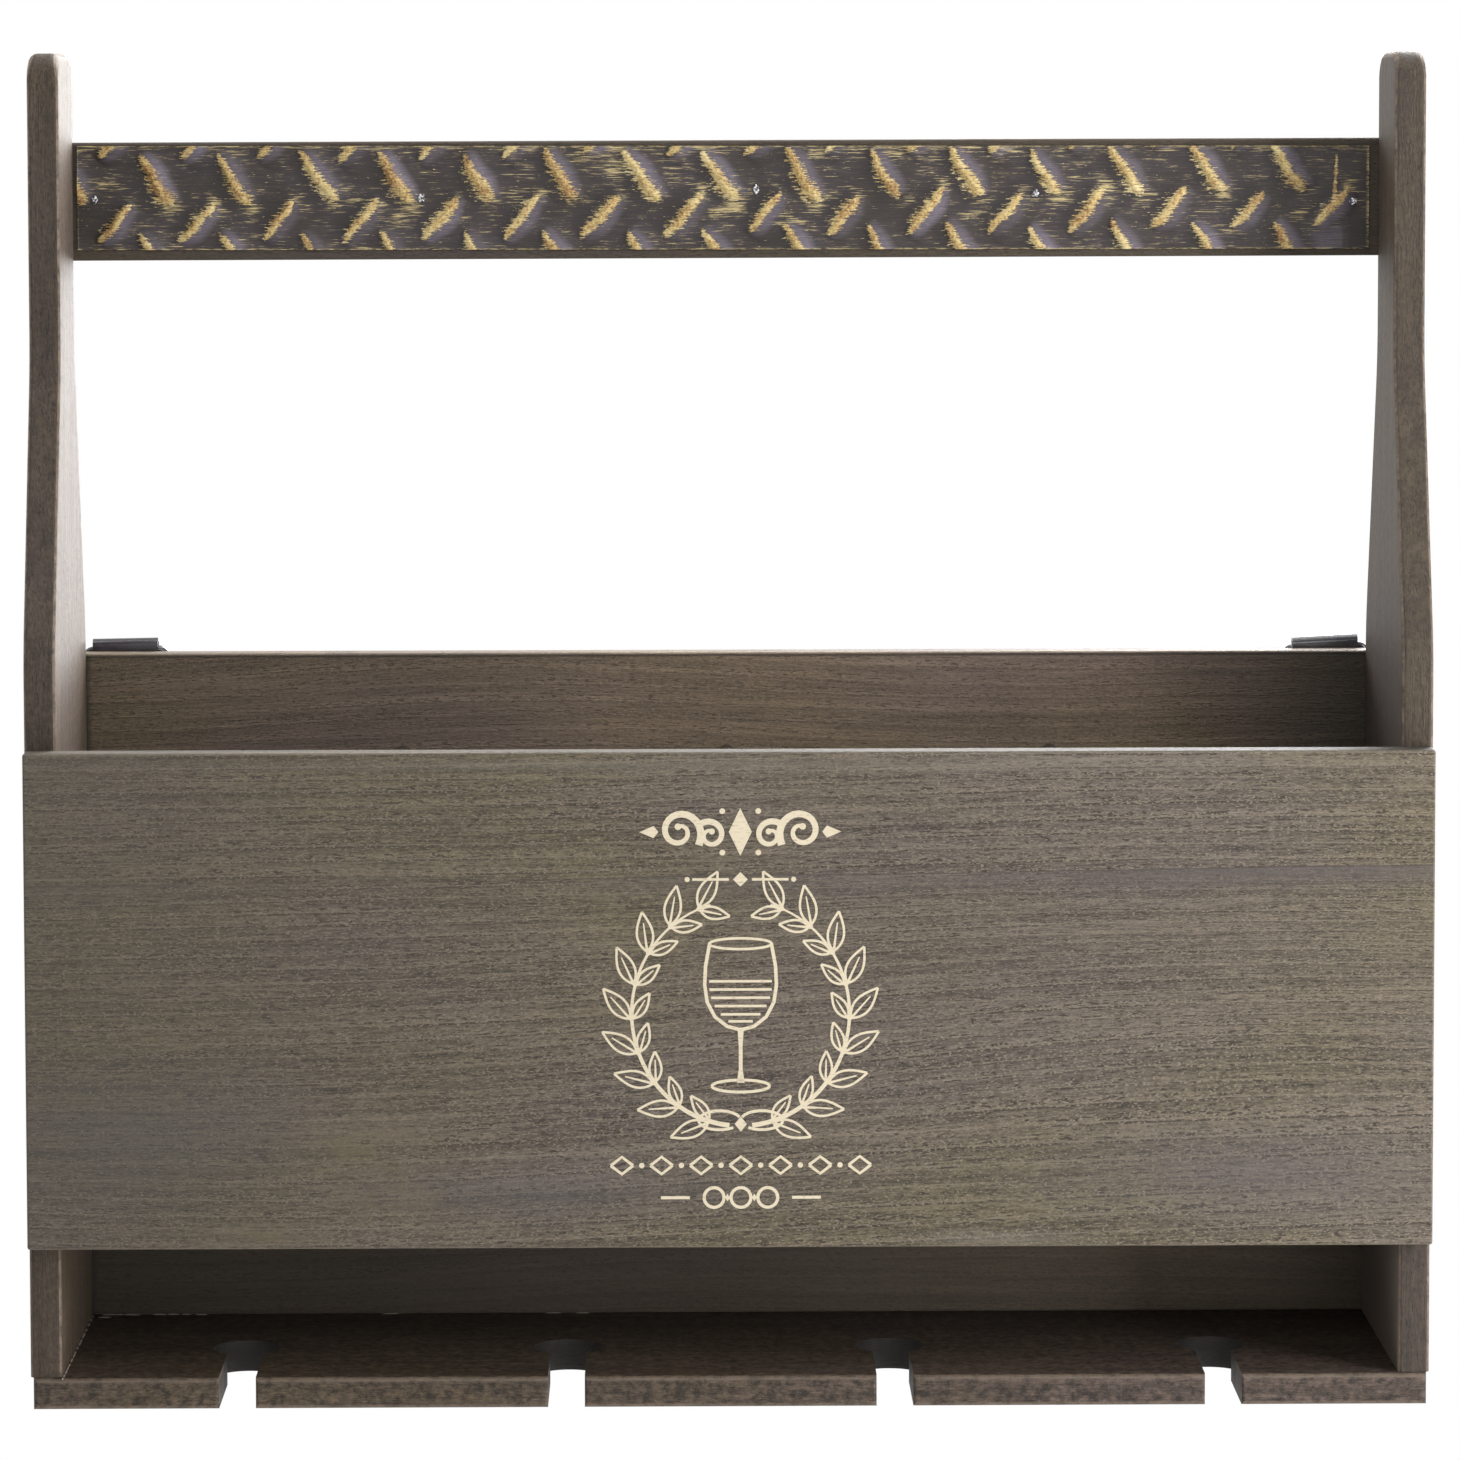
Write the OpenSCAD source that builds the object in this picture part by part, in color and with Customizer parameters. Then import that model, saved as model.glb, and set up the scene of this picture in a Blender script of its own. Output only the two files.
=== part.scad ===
// Wall-mounted wine rack in stained boards: four bottles stand upright in a divided trough,
// four stemmed glasses hang by their feet from a slotted shelf below it, and a handle bar with
// an embossed metal strip joins the two necks. Two D-rings on the back hang it from the wall.
// The wall is the plane y = 0, the front looks towards -Y, and z = 0 is the shelf's underside.

/* [Boards] */
// Thickness of the sides, panels, floor, shelf and bar
board_t = 10; // [8:0.5:13]
// Width across the outer faces of the two side panels
side_span = 441; // [400:1:480]
// How far the front panel, back panel and bar stop short of each outer face
panel_inset = 0.5; // [0:0.1:2]
// Radius of the eased edges of the panels and the bar
edge_r = 0.8; // [0.4:0.1:1.5]

/* [Side panels] */
// Depth from front edge to back edge
side_d = 95; // [86:1:110]
// Height above the shelf
side_h = 416; // [400:1:440]
// Depth of the neck
neck_d = 42; // [34:1:56]
// Height above the shelf at which the slope starts
slope_z = 229; // [225:1:240]
// Height that the slope climbs
slope_h = 90; // [70:1:100]
// Radius of the bends at both ends of the slope
bend_r = 60; // [20:1:80]
// Radius of the neck's top corners, seen from the side
top_r = 8; // [4:0.5:14]
// Radius of the top corners, seen from the front
top_ease = 3; // [1:0.5:3.5]

/* [Trough] */
// Clear height for glass feet between the shelf and the trough
foot_gap = 42.5; // [36:0.5:50]
// Height of the front panel
front_h = 156; // [140:1:165]
// Height of the back panel, which stands on the shelf
back_h = 220; // [212:1:224]
// Thickness of the dividers
divider_t = 5; // [4:0.5:8]
// Height of the dividers above the trough's floor
divider_h = 137; // [110:1:140]
// Number of dividers
divider_n = 3; // [3]

/* [Stemware shelf] */
// How far the shelf stands out in front of the side panels
shelf_lip = 1.5; // [0:0.5:5]
// How far the shelf stops short of each outer face
shelf_inset = 1; // [0:0.5:3]
// Distance from each end of the shelf to the middle of the nearest slot
slot_end = 64.1; // [56:0.1:74]
// Width of the slots
slot_w = 11.6; // [9:0.1:14]
// Radius of the round hole at the end of each slot
hole_r = 11; // [9:0.5:13]
// Distance from the shelf's front edge to the middle of the holes
hole_inset = 44.5; // [38:0.5:52]
// Radius of the slots' front corners
mouth_r = 1; // [0.5:0.1:2]
// Radius of the shelf's front edges and front corners
shelf_edge_r = 1.5; // [0.8:0.1:2.5]

/* [Handle bar] */
// Height of the bar
bar_h = 38; // [36:1:46]
// Distance from the top of the sides down to the bar
bar_drop = 27.8; // [20:0.1:40]
// How far the bar is out of level, in degrees
bar_tilt = 0.12; // [0:0.01:0.3]

/* [Embossed strip] */
// Gap between the left side panel and the strip
strip_gap_left = 1.45; // [0.5:0.05:10]
// Gap between the right side panel and the strip
strip_gap_right = 3; // [0.5:0.05:10]
// Height of the strip
strip_h = 33.6; // [28:0.1:35]
// Thickness of the sheet
strip_t = 0.8; // [0.5:0.1:1.2]
// Distance from the bar's lower edge up to the strip
strip_lift = 3.3; // [1:0.1:4]
// Distance between neighbouring ridges of a row
ridge_pitch = 26.1; // [22:0.1:30]
// Distance between neighbouring rows that lean the same way
row_pitch = 26; // [24:0.1:28]
// Slope of the rows against the strip's edges, in degrees
row_tilt = 0.65; // [0:0.05:1]
// Length of the spindle that forms a ridge
ridge_l = 26; // [20:0.5:28]
// Thickest radius of that spindle
ridge_r = 2.6; // [1.8:0.1:3.2]
// Height of the ridges above the sheet
ridge_h = 1.2; // [0.6:0.1:1.6]
// Angle from level of the ridges that rise to the right
rising_lean = 49; // [40:1:60]
// Angle from level of the ridges that fall to the right
falling_lean = 58; // [45:1:65]

/* [Hangers] */
// Distance from each end of the back panel to the middle of its hanger
hanger_inset = 21.4; // [20:0.1:60]
// Height of the ring's pivot above the back panel
pivot_lift = 0; // [-0.5:0.1:1]
// Width of the strap
strap_w = 21.5; // [18:0.5:23]
// Length of the strap below the pivot
strap_l = 45; // [40:0.5:60]
// Thickness of the strap's sheet
strap_t = 1; // [0.8:0.1:1.2]
// Diameter of the ring's wire
wire_d = 3; // [2.4:0.1:3.4]
// Clearance of the wire inside the strap's fold, in radius
pivot_play = 0.08; // [0.04:0.01:0.1]
// Empty height that the fold leaves above the wire
fold_slack = 1.5; // [0:0.1:2]
// Clearance between the ring's arms and the strap's edges
arm_play = 0.8; // [0.6:0.1:1.2]
// Clearance between the hanging ring and the strap
hang_play = 0.6; // [0.3:0.1:1.5]
// Distance from the ring and from the strap's end to the edges of the nearest screw heads
screw_margin = 2; // [1:0.1:4]
// Depth of the ring below its pivot, to the middle of the wire
ring_depth = 20; // [18:0.5:24]
// Lean of the left hanger, in degrees
left_lean = 1; // [0:0.5:4]
// Lean of the right hanger, in degrees
right_lean = 3; // [0:0.5:6]

/* [Fasteners] */
// Radius of the nails' shanks
nail_r = 0.7; // [0.5:0.1:1]
// Radius of the nails' heads
nail_head_r = 1.5; // [1.2:0.1:2]
// Height of the nails' heads
nail_head_h = 0.6; // [0.4:0.1:1]
// Length of the nails in the back panel
nail_l = 25; // [20:1:32]
// Length of the nails in the strip
strip_nail_l = 8; // [6:0.5:9]
// Radius of the wood screws' shanks
screw_r = 1.6; // [1.2:0.1:2]
// Radius of the wood screws' heads
screw_head_r = 3.2; // [2.6:0.1:3.6]
// Length of the wood screws
screw_l = 26; // [20:1:32]
// Radius of the wood screws' blunt tips
screw_tip_r = 0.3; // [0.2:0.1:0.6]
// Depth of every wood screw's cross slot
cross_depth = 1; // [0.6:0.1:1.4]
// Clearance of a fastener in its hole, in radius
fastener_play = 0.05; // [0.02:0.01:0.08]

/* [Hidden] */

round_fn = 64;
small_fn = 32;
arc_steps = 6;

// Planes of the case, from the wall forwards and from the floor upwards
back_y = -board_t;
front_y = back_y - side_d;
inner_w = side_span - 2 * board_t;
panel_w = side_span - 2 * panel_inset;
shelf_w = side_span - 2 * shelf_inset;
trough_z = board_t + foot_gap;
floor_top = trough_z + board_t;
back_top = board_t + back_h;
side_top = board_t + side_h;
neck_back_y = back_y - (side_d - neck_d) / 2;
bar_z = side_top - bar_drop - bar_h / 2;
divider_pitch = (inner_w - divider_n * divider_t) / (divider_n + 1) + divider_t;
slot_n = 4;
slot_pitch = (shelf_w - 2 * slot_end) / (slot_n - 1);
strip_x = strip_gap_left - inner_w / 2;
strip_l = inner_w - strip_gap_left - strip_gap_right;
strip_z = bar_z - bar_h / 2 + strip_lift;

stain = [0.36, 0.32, 0.27];
dark_stain = [0.27, 0.24, 0.21];
bronze = [0.36, 0.29, 0.22];
black_steel = [0.12, 0.12, 0.13];
bright_steel = [0.62, 0.62, 0.6];

function arc(x, y, r, from, to) =
    [for (i = [0:arc_steps]) let (a = from + (to - from) * i / arc_steps) [x + r * cos(a), y + r * sin(a)]];

function mirrored(points) = [for (i = [len(points) - 1:-1:0]) [-points[i][0], points[i][1]]];

function row(n, pitch) = [for (i = [0:n - 1]) (i - (n - 1) / 2) * pitch];

// Stands a flat outline up: its x runs along Y, its y along Z, and the extrusion along X
module upright_side(t) {
    rotate([90, 0, 90]) translate([0, 0, -t / 2]) linear_extrude(t) children();
}

// Stands a flat outline up facing the front: its x stays X, its y runs along Z, and it
// reaches from the given plane forwards
module upright_front(y, t) {
    translate([0, y, 0]) rotate([90, 0, 0]) linear_extrude(t) children();
}

// Fasteners

// A nail that points along +Z with its head's top at z = 0
module nail(l) {
    cylinder(r = nail_head_r, h = nail_head_h, $fn = small_fn);
    cylinder(r = nail_r, h = l, $fn = small_fn);
}

module nail_hole(l) {
    translate([0, 0, -1]) cylinder(r = nail_head_r + fastener_play, h = nail_head_h + 1, $fn = small_fn);
    cylinder(r = nail_r + fastener_play, h = l + fastener_play, $fn = small_fn);
}

// A countersunk wood screw that points along +Z with its head's top at z = 0
module screw_body(l, play) {
    head_h = screw_head_r - screw_r;
    cylinder(r1 = screw_head_r + play, r2 = screw_r + play, h = head_h, $fn = small_fn);
    cylinder(r = screw_r + play, h = l - screw_r, $fn = small_fn);
    translate([0, 0, l - screw_r])
        cylinder(r1 = screw_r + play, r2 = screw_tip_r + play, h = screw_r, $fn = small_fn);
}

module cross_slot() {
    arm = screw_head_r * 1.1;
    web = screw_head_r * 0.25;
    translate([-arm / 2, -web / 2, -0.01]) cube([arm, web, cross_depth]);
    translate([-web / 2, -arm / 2, -0.01]) cube([web, arm, cross_depth]);
}

module screw(l) {
    difference() {
        screw_body(l, 0);
        cross_slot();
    }
}

module screw_hole(l) {
    screw_body(l + fastener_play, fastener_play);
    translate([0, 0, -1]) cylinder(r = screw_head_r + fastener_play, h = 1.01, $fn = small_fn);
}

// Where the fasteners go

// Shelf screws: up into the side panels and the back panel
module at_shelf_screws() {
    for (x = [-1, 1], y = [front_y + side_d * 0.2, back_y - side_d * 0.2])
        translate([x * (side_span - board_t) / 2, y, 0]) children();
    for (x = row(3, inner_w * 0.36)) translate([x, -board_t / 2, 0]) children();
}

// Bar screws: forwards through the bar's ends into the backs of the necks
module at_bar_screws() {
    for (x = [-1, 1], z = [-1, 1])
        translate([x * (side_span - board_t) / 2, neck_back_y + board_t, bar_z + z * bar_h * 0.25])
            rotate([90, 0, 0]) children();
}

// Nails through the back panel, into the side panels, the floor and the dividers
module at_back_nails() {
    for (x = [-1, 1], z = [0.15, 0.5, 0.85])
        translate([x * (side_span - board_t) / 2, 0, board_t + back_h * z]) rotate([90, 0, 0]) children();
    for (x = row(divider_n + 1, divider_pitch))
        translate([x, 0, trough_z + board_t / 2]) rotate([90, 0, 0]) children();
    for (x = row(divider_n, divider_pitch), z = [0.3, 0.7])
        translate([x, 0, floor_top + divider_h * z]) rotate([90, 0, 0]) children();
}

// Strip nails, placed by eye as the maker did: shares of the strip's length and height,
// counted from its middle
strip_nail_at = [[-0.487, -0.03], [-0.234, -0.02], [0.025, 0.06], [0.241, 0.015], [0.488, -0.065]];

module at_strip_nails() {
    for (p = strip_nail_at)
        translate([strip_x + (0.5 + p[0]) * strip_l, 0, strip_z + (0.5 + p[1]) * strip_h])
            translate([0, neck_back_y - strip_t - nail_head_h, 0]) rotate([-90, 0, 0]) children();
}

// Boards

// A rectangle with round corners, centred
module rounded(w, h, r) {
    square([w - 2 * r, h], center = true);
    square([w, h - 2 * r], center = true);
    for (x = [-1, 1], y = [-1, 1]) translate([x * (w / 2 - r), y * (h / 2 - r)]) circle(r, $fn = small_fn);
}

// A board with all its edges eased, centred
module board(w, d, h) {
    intersection() {
        translate([0, 0, -h / 2]) linear_extrude(h) rounded(w, d, edge_r);
        upright_front(d / 2, d) rounded(w, h, edge_r);
        upright_side(w) rounded(d, h, edge_r);
    }
}

// The side panel's outline: a straight lower part, a slope to the neck and rounded top corners
function side_half() =
    let (lean = atan((side_d - neck_d) / 2 / slope_h), tangent = bend_r * tan(lean / 2))
    concat(
        [[side_d / 2, 0]],
        arc(side_d / 2 - bend_r, slope_z - tangent, bend_r, 0, lean),
        arc(neck_d / 2 + bend_r, slope_z + slope_h + tangent, bend_r, 180 + lean, 180),
        arc(neck_d / 2 - top_r, side_h - top_r, top_r, 0, 90)
    );

module side_outline() {
    polygon(concat(side_half(), mirrored(side_half())));
}

// The same board seen from the front, with its top corners eased
module side_edge_outline() {
    edge = concat([[board_t / 2, 0]], arc(board_t / 2 - top_ease, side_h - top_ease, top_ease, 0, 90));
    polygon(concat(edge, mirrored(edge)));
}

module side_panel(sign) {
    color(stain) difference() {
        translate([sign * (side_span - board_t) / 2, (front_y + back_y) / 2, board_t]) intersection() {
            upright_side(board_t) side_outline();
            upright_front(side_d / 2, side_d) side_edge_outline();
        }
        at_shelf_screws() screw_hole(screw_l);
        at_bar_screws() screw_hole(screw_l);
        at_back_nails() nail_hole(nail_l);
    }
}

module front_panel() {
    color(stain) translate([0, front_y - board_t / 2, trough_z + front_h / 2])
        board(panel_w, board_t, front_h);
}

module back_panel() {
    color(stain) difference() {
        translate([0, back_y / 2, board_t + back_h / 2]) board(panel_w, board_t, back_h);
        at_back_nails() nail_hole(nail_l);
        at_shelf_screws() screw_hole(screw_l);
        at_hanger(-1) at_hanger_screws() screw_hole(hanger_screw_l);
        at_hanger(1) at_hanger_screws() screw_hole(hanger_screw_l);
    }
}

module bottle_floor() {
    color(dark_stain) difference() {
        translate([-inner_w / 2, front_y, trough_z]) cube([inner_w, side_d, board_t]);
        at_back_nails() nail_hole(nail_l);
    }
}

// A divider with a fully rounded top edge
module divider(index) {
    r = divider_t / 2;
    color(dark_stain) difference() {
        translate([row(divider_n, divider_pitch)[index], 0, floor_top]) upright_front(back_y, side_d) {
            translate([-r, 0]) square([divider_t, divider_h - r]);
            translate([0, divider_h - r]) circle(r, $fn = small_fn);
        }
        at_back_nails() nail_hole(nail_l);
    }
}

// One stem slot: a straight mouth with eased corners, and the round hole that takes the stem
module slot_outline() {
    translate([0, hole_inset]) circle(hole_r, $fn = round_fn);
    translate([-slot_w / 2, -1]) square([slot_w, hole_inset + 1]);
    mouth_w = slot_w + 2 * mouth_r;
    difference() {
        translate([-mouth_w / 2, -1]) square([mouth_w, 1 + mouth_r]);
        for (x = [-1, 1]) translate([x * mouth_w / 2, mouth_r]) circle(mouth_r, $fn = small_fn);
    }
}

// A rectangle that starts at the origin, with round corners on the side where y is 0
module round_front(w, h, r) {
    translate([-w / 2, r]) square([w, h - r]);
    translate([r - w / 2, 0]) square([w - 2 * r, h]);
    for (x = [-1, 1]) translate([x * (w / 2 - r), r]) circle(r, $fn = small_fn);
}

module stemware_shelf() {
    shelf_d = side_d + shelf_lip + board_t;
    color(stain) difference() {
        intersection() {
            linear_extrude(board_t) difference() {
                translate([0, -shelf_d]) round_front(shelf_w, shelf_d, shelf_edge_r);
                for (x = row(slot_n, slot_pitch)) translate([x, -shelf_d]) slot_outline();
            }
            upright_side(shelf_w) translate([-shelf_d, board_t / 2]) rotate(-90)
                round_front(board_t, shelf_d, shelf_edge_r);
        }
        at_shelf_screws() screw_hole(screw_l);
    }
}

// Handle bar and its strip

module handle_bar() {
    color(dark_stain) difference() {
        translate([0, neck_back_y + board_t / 2, bar_z]) rotate([0, -bar_tilt, 0])
            board(panel_w, board_t, bar_h);
        at_strip_nails() nail_hole(strip_nail_l);
        at_bar_screws() screw_hole(screw_l);
    }
}

// A spindle along X: an arc turned about its own chord
module spindle() {
    arc_r = (ridge_l * ridge_l / 4 + ridge_r * ridge_r) / (2 * ridge_r);
    rotate([0, 90, 0]) rotate_extrude($fn = small_fn) intersection() {
        translate([ridge_r - arc_r, 0]) circle(arc_r, $fn = round_fn);
        translate([0, -ridge_l / 2]) square([ridge_r, ridge_l]);
    }
}

// A spindle sunk into the sheet until only a ridge stands out of its front
module ridge() {
    intersection() {
        translate([0, ridge_r - ridge_h, 0]) spindle();
        translate([-ridge_l / 2, -2 * ridge_h, -ridge_r])
            cube([ridge_l, 2 * ridge_h + strip_t / 2, 2 * ridge_r]);
    }
}

// One row of ridges that lean alike, at a height above the strip's lower edge
module ridge_row(z, first, lean) {
    for (x = [first:ridge_pitch:strip_l - ridge_pitch / 8])
        translate([x, 0, z]) rotate([0, -lean, 0]) ridge();
}

// Rows that lean to the right alternate with rows that lean to the left, as on tread plate;
// the edges of the sheet cut through the outer rows
module embossed_strip() {
    right_z = strip_h * 0.335;
    left_z = strip_h * 0.732;
    margin = ridge_l;
    color(bronze) difference() {
        translate([strip_x, neck_back_y - strip_t, strip_z]) difference() {
            union() {
                cube([strip_l, strip_t, strip_h]);
                translate([strip_l / 2, 0, 0]) rotate([0, -row_tilt, 0]) translate([-strip_l / 2, 0, 0])
                    for (step = [0, row_pitch]) {
                        ridge_row(right_z + step, ridge_pitch * 0.48, rising_lean);
                        ridge_row(left_z - step, ridge_pitch * -0.06, -falling_lean);
                    }
            }
            for (z = [-margin, strip_h])
                translate([-margin, -margin, z]) cube([strip_l + 2 * margin, 2 * margin, margin]);
            for (x = [-margin, strip_l])
                translate([x, -margin, -margin]) cube([margin, 2 * margin, strip_h + 2 * margin]);
        }
        at_strip_nails() nail_hole(strip_nail_l);
    }
}

module strip_nails() {
    color(bright_steel) at_strip_nails() nail(strip_nail_l);
}

// Hangers: a strap folded round the straight bar of a D-ring, held by two screws

fold_r = wire_d / 2 + pivot_play + strap_t;
pivot_z = back_top + pivot_lift;
hanger_screw_l = board_t * 0.75 + 2 * strap_t;
// The hanging ring leans away from the panel until it clears the strap
ring_rest = atan((2 * strap_t + wire_d / 2 + hang_play - fold_r) / (ring_depth - wire_d / 2));

module at_hanger(sign) {
    translate([sign * (panel_w / 2 - hanger_inset), fold_r, pivot_z])
        rotate([0, sign > 0 ? -right_lean : -left_lean, 0]) children();
}

module at_hanger_screws() {
    for (z = [ring_depth + wire_d / 2 + screw_head_r + screw_margin, strap_l - screw_head_r - screw_margin])
        translate([0, 2 * strap_t - fold_r, -z]) rotate([90, 0, 0]) children();
}

// The fold's outline round the wire and the empty space above it
module fold_outline(r) {
    circle(r, $fn = round_fn);
    translate([0, fold_slack]) circle(r, $fn = round_fn);
    translate([-r, 0]) square([2 * r, fold_slack]);
}

// The strap seen from the side: the fold round the wire, then both layers flat on the panel
module strap_outline() {
    wire_r = wire_d / 2 + pivot_play;
    squeeze = 2 * fold_r;
    difference() {
        union() {
            fold_outline(fold_r);
            polygon([
                [-fold_r, 0], [-fold_r, -strap_l], [2 * strap_t - fold_r, -strap_l],
                [2 * strap_t - fold_r, -squeeze], [fold_r * cos(20), -fold_r * sin(20)], [0, 0]
            ]);
        }
        fold_outline(wire_r);
    }
}

// The strap seen from behind: square at the fold, round at the lower corners
module strap_face_outline() {
    corner = strap_w / 4;
    edge = concat(arc(strap_w / 2 - corner, corner - strap_l, corner, -90, 0), [[strap_w / 2, fold_slack + fold_r]]);
    polygon(concat(edge, mirrored(edge)));
}

module hanger_strap(sign) {
    color(black_steel) difference() {
        at_hanger(sign) intersection() {
            upright_side(strap_w) strap_outline();
            upright_front(fold_r, 2 * fold_r) strap_face_outline();
        }
        at_hanger(sign) at_hanger_screws() screw_hole(hanger_screw_l);
    }
}

module wire_bend(r, from, sweep) {
    rotate([90, 0, 0]) rotate([0, 0, from]) rotate_extrude(angle = sweep, $fn = round_fn)
        translate([r, 0]) circle(wire_d / 2, $fn = small_fn);
}

module wire(l) {
    cylinder(r = wire_d / 2, h = l, $fn = small_fn);
}

// The D-ring in its own plane, with its straight bar along X through the pivot
module ring_body() {
    half = strap_w / 2 + arm_play + wire_d / 2;
    corner = wire_d * 0.8;
    arm = ring_depth - half;
    translate([corner - half, 0, 0]) rotate([0, 90, 0]) wire(2 * (half - corner));
    translate([half - corner, 0, -corner]) wire_bend(corner, 0, 90);
    translate([corner - half, 0, -corner]) wire_bend(corner, 90, 90);
    for (x = [-half, half]) translate([x, 0, -arm]) wire(arm - corner);
    translate([0, 0, -arm]) wire_bend(half, 180, 180);
}

module hanger_ring(sign) {
    color(black_steel) at_hanger(sign) rotate([ring_rest, 0, 0]) ring_body();
}

module hanger_screws(sign) {
    color(black_steel) at_hanger(sign) at_hanger_screws() screw(hanger_screw_l);
}

module bar_screws() {
    color(black_steel) at_bar_screws() screw(screw_l);
}

module back_panel_nails() {
    color(bright_steel) at_back_nails() nail(nail_l);
}

module shelf_screws() {
    color(black_steel) at_shelf_screws() screw(screw_l);
}

side_panel(-1);  // left_side_panel
side_panel(1);  // right_side_panel
front_panel();
back_panel();
bottle_floor();
divider(0);  // left_divider
divider(1);  // middle_divider
divider(2);  // right_divider
stemware_shelf();
handle_bar();
embossed_strip();
strip_nails();
hanger_strap(-1);  // left_hanger_strap
hanger_strap(1);  // right_hanger_strap
hanger_ring(-1);  // left_hanger_ring
hanger_ring(1);  // right_hanger_ring
hanger_screws(-1);  // left_hanger_screws
hanger_screws(1);  // right_hanger_screws
bar_screws();
back_panel_nails();
shelf_screws();
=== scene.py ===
"""The look of the wall-mounted wine rack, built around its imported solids."""
import math
import random

import bmesh
import bpy
import numpy as np
from mathutils import Matrix, Vector


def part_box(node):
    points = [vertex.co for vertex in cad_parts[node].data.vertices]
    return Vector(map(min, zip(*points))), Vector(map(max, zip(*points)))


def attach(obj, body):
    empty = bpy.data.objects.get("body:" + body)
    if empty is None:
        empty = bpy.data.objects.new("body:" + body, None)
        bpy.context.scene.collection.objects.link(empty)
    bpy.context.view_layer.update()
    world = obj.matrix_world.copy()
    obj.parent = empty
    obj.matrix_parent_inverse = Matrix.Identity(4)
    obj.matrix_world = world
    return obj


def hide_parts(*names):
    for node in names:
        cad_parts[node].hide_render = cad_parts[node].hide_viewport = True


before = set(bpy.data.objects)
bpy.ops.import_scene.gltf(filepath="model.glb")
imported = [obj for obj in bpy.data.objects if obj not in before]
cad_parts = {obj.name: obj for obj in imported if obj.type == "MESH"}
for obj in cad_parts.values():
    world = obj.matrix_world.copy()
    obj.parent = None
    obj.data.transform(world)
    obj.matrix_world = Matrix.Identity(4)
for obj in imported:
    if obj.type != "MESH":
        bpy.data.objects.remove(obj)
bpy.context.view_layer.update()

# Side panels: two boards of an open-grained light wood, sawn to the outline of a bottle's
# shoulder and neck, sanded round along every edge and rubbed with a thin grey-brown stain.
# They stand on the stemware shelf and are screwed to it from below.

MM = 0.001


def new_material(name, roughness=0.5, metallic=0.0, specular=0.5):
    """A material with one shader; returns the material, its tree and the shader."""
    material = bpy.data.materials.new(name)
    material.use_nodes = True
    tree = material.node_tree
    shader = tree.nodes["Principled BSDF"]
    shader.inputs["Roughness"].default_value = roughness
    shader.inputs["Metallic"].default_value = metallic
    shader.inputs["Specular IOR Level"].default_value = specular
    return material, tree, shader


def node(tree, kind, inputs=None, **settings):
    """Adds one node, with its settings and its inputs by name or number."""
    made = tree.nodes.new(kind)
    for key, value in settings.items():
        setattr(made, key, value)
    for key, value in (inputs or {}).items():
        if isinstance(value, bpy.types.NodeSocket):
            tree.links.new(value, made.inputs[key])
        else:
            made.inputs[key].default_value = value
    return made


def maths(tree, operation, a, b=0.0, c=0.0):
    return node(tree, "ShaderNodeMath", {0: a, 1: b, 2: c}, operation=operation).outputs[0]


def times(tree, a, *factors):
    for factor in factors:
        a = maths(tree, "MULTIPLY", a, factor)
    return a


def vectors(tree, operation, a, b=(0, 0, 0)):
    made = node(tree, "ShaderNodeVectorMath", {0: a, 1: b}, operation=operation)
    return made.outputs["Value" if operation == "LENGTH" else "Vector"]


def split(tree, vector):
    return node(tree, "ShaderNodeSeparateXYZ", {0: vector}).outputs


def ramp(tree, fac, stops):
    """A colour ramp; stops are (position, grey) or (position, (r, g, b))."""
    made = node(tree, "ShaderNodeValToRGB", {"Fac": fac})
    elements = made.color_ramp.elements
    while len(elements) < len(stops):
        elements.new(0.5)
    for element, (position, value) in zip(elements, stops):
        element.position = position
        colour = (value, value, value) if isinstance(value, (int, float)) else value
        element.color = (*colour, 1.0)
    return made.outputs["Color"]


def mix(tree, fac, a, b, blend="MIX"):
    made = node(tree, "ShaderNodeMix", data_type="RGBA", blend_type=blend)
    for key, value in ((0, fac), (6, a), (7, b)):
        if isinstance(value, bpy.types.NodeSocket):
            tree.links.new(value, made.inputs[key])
        elif isinstance(value, (int, float)):
            made.inputs[key].default_value = value
        else:
            made.inputs[key].default_value = (*value, 1.0)
    return made.outputs[2]


def stain(tree, tone, colour, *masks):
    """Lays a colour over the tone, as far as all the masks let it."""
    return mix(tree, times(tree, *masks), tone, colour)


def noise(tree, vector, scale, detail=2.0, roughness=0.5):
    """Noise of a scale; three scales, in brackets, stretch it along X, Y and Z."""
    if isinstance(scale, tuple):
        vector = node(tree, "ShaderNodeMapping", {"Vector": vector, "Scale": scale}).outputs["Vector"]
        scale = 1.0
    return node(tree, "ShaderNodeTexNoise", {"Vector": vector, "Scale": scale, "Detail": detail,
                                             "Roughness": roughness}).outputs["Fac"]


def sum_of(tree, parts):
    """1 + the sum of amount * (noise - 0.5); the amounts set each pattern's contrast."""
    total = 1.0 - sum(amount for _, amount in parts) / 2
    for fac, amount in parts:
        total = maths(tree, "MULTIPLY_ADD", fac, amount, total)
    return total


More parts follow.
